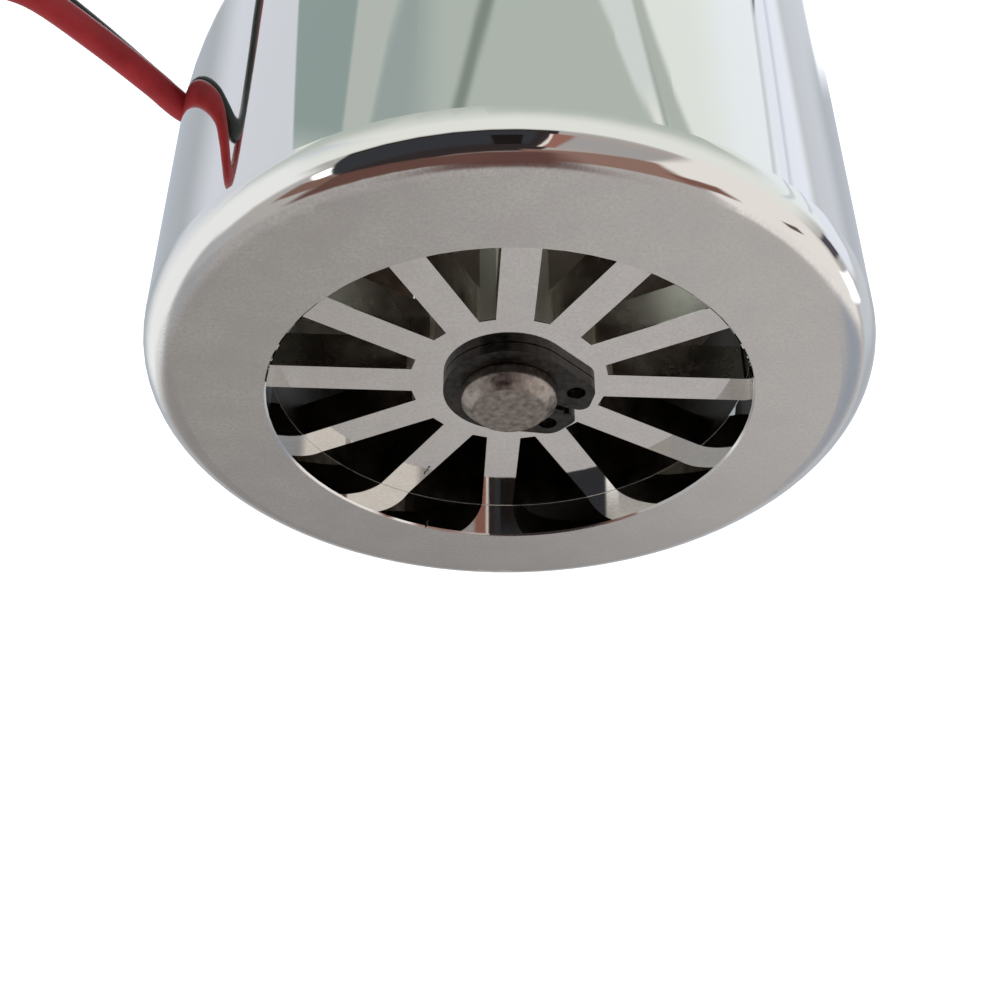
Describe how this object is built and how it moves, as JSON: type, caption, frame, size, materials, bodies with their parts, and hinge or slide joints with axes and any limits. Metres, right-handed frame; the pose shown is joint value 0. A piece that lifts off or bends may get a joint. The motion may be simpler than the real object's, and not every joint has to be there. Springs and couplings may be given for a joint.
{
  "type": "cnc spindle motor",
  "caption": "Round brushed air-cooled spindle motor with a spoked vent at the rear, two side windows, a red and a black lead, and a slit collet with a hexagonal nut at the nose.",
  "frame": {"origin": "the middle of the body's clamped stretch, on the shaft's axis", "axes": "+Z along the shaft towards the vented rear end; the nose points along -Z; the leads come out at +X; the side windows face -Y and +Y"},
  "size_m": [0.0763, 0.052, 0.2075],
  "materials": {
    "chromed_steel": "polished chrome plate",
    "polished_casting": "buffed bright",
    "bronze": "sintered, oiled",
    "phenolic_board": "laminated board, satin",
    "brass": "stamped",
    "spring_steel": "drawn wire",
    "carbon": "pressed carbon, matt",
    "rubber_black": "moulded, matt",
    "wire_red": "extruded silicone insulation, satin",
    "wire_black": "extruded silicone insulation, satin",
    "tinned_copper": "tinned strands",
    "ferrite": "sintered ferrite, matt",
    "strip_steel": "rolled strip",
    "turned_aluminium": "turned, fine tool marks",
    "black_steel": "blackened",
    "bearing_steel": "ground",
    "ground_steel": "ground",
    "fibre": "pressed fibre",
    "moulding_compound": "moulded phenolic",
    "copper": "turned copper",
    "laminations": "stacked sheets, ground outside",
    "enamelled_wire": "varnished winding",
    "nylon_black": "moulded nylon",
    "hardened_steel": "ground, hardened",
    "nut_steel": "turned and milled"
  },
  "bodies": {
    "stator": {"housing": "chromed_steel", "rear_spider": "polished_casting", "rear_bush": "bronze", "brush_ring": "phenolic_board", "brush_holders": "brass", "holder_rivets": "brass", "brush_spring_a": "spring_steel", "brush_spring_b": "spring_steel", "brush_links": "brass", "lead_terminals": "brass", "lead_grommet": "rubber_black", "lead_red": "wire_red", "lead_black": "wire_black", "lead_tip_red": "tinned_copper", "lead_tip_black": "tinned_copper", "magnet_left": "ferrite", "magnet_right": "ferrite", "magnet_clips": "strip_steel", "front_bell": "turned_aluminium", "bell_screws": "black_steel", "bearing_outer_rings": "bearing_steel", "bearing_shields": "strip_steel", "outer_spacer": "strip_steel", "wave_washer": "spring_steel", "nose_cap": "turned_aluminium", "nose_cap_screws": "black_steel"},
    "rotor": {"shaft": "ground_steel", "rear_circlip": "black_steel", "thrust_washer": "fibre", "commutator_hub": "moulding_compound", "commutator_bars": "copper", "end_insulators": "fibre", "armature_core": "laminations", "windings": "enamelled_wire", "fan": "nylon_black", "front_circlip": "black_steel", "bearing_inner_rings": "bearing_steel", "inner_spacer": "strip_steel"},
    "ball_cage": {"bearing_balls": "bearing_steel", "bearing_cages": "brass"},
    "collet": {"collet": "hardened_steel"},
    "collet_nut": {"collet_nut": "nut_steel"},
    "brush_a": {"brush_a": "carbon"},
    "brush_b": {"brush_b": "carbon"}
  },
  "joints": [
    {"name": "rotor_spin", "type": "hinge", "parent": "stator", "child": "rotor", "pos_m": [0, 0, 0], "axis": [0, 0, 1], "continuous": true},
    {"name": "cage_orbit", "type": "hinge", "parent": "stator", "child": "ball_cage", "pos_m": [0, 0, 0], "axis": [0, 0, 1], "continuous": true},
    {"name": "collet_slide", "type": "slide", "parent": "rotor", "child": "collet", "axis": [0, 0, -1], "range_m": [0, 0.0015]},
    {"name": "nut_turn", "type": "hinge", "parent": "collet", "child": "collet_nut", "pos_m": [0, 0, 0], "axis": [0, 0, -1], "range_deg": [0, 720]},
    {"name": "brush_a_slide", "type": "slide", "parent": "stator", "child": "brush_a", "axis": [0.0872, 0.9962, 0], "range_m": [0, 0.0015], "stiffness_N_per_m": 300, "springref_m": -0.002, "deforming": ["brush_spring_a"]},
    {"name": "brush_b_slide", "type": "slide", "parent": "stator", "child": "brush_b", "axis": [-0.0872, -0.9962, 0], "range_m": [0, 0.0015], "stiffness_N_per_m": 300, "springref_m": -0.002, "deforming": ["brush_spring_b"]}
  ],
  "couplings": [
    {"joint": "cage_orbit", "follows": "rotor_spin", "ratio": 0.381},
    {"joint": "nut_turn", "follows": "collet_slide", "rad_per_m": 8377.6}
  ]
}
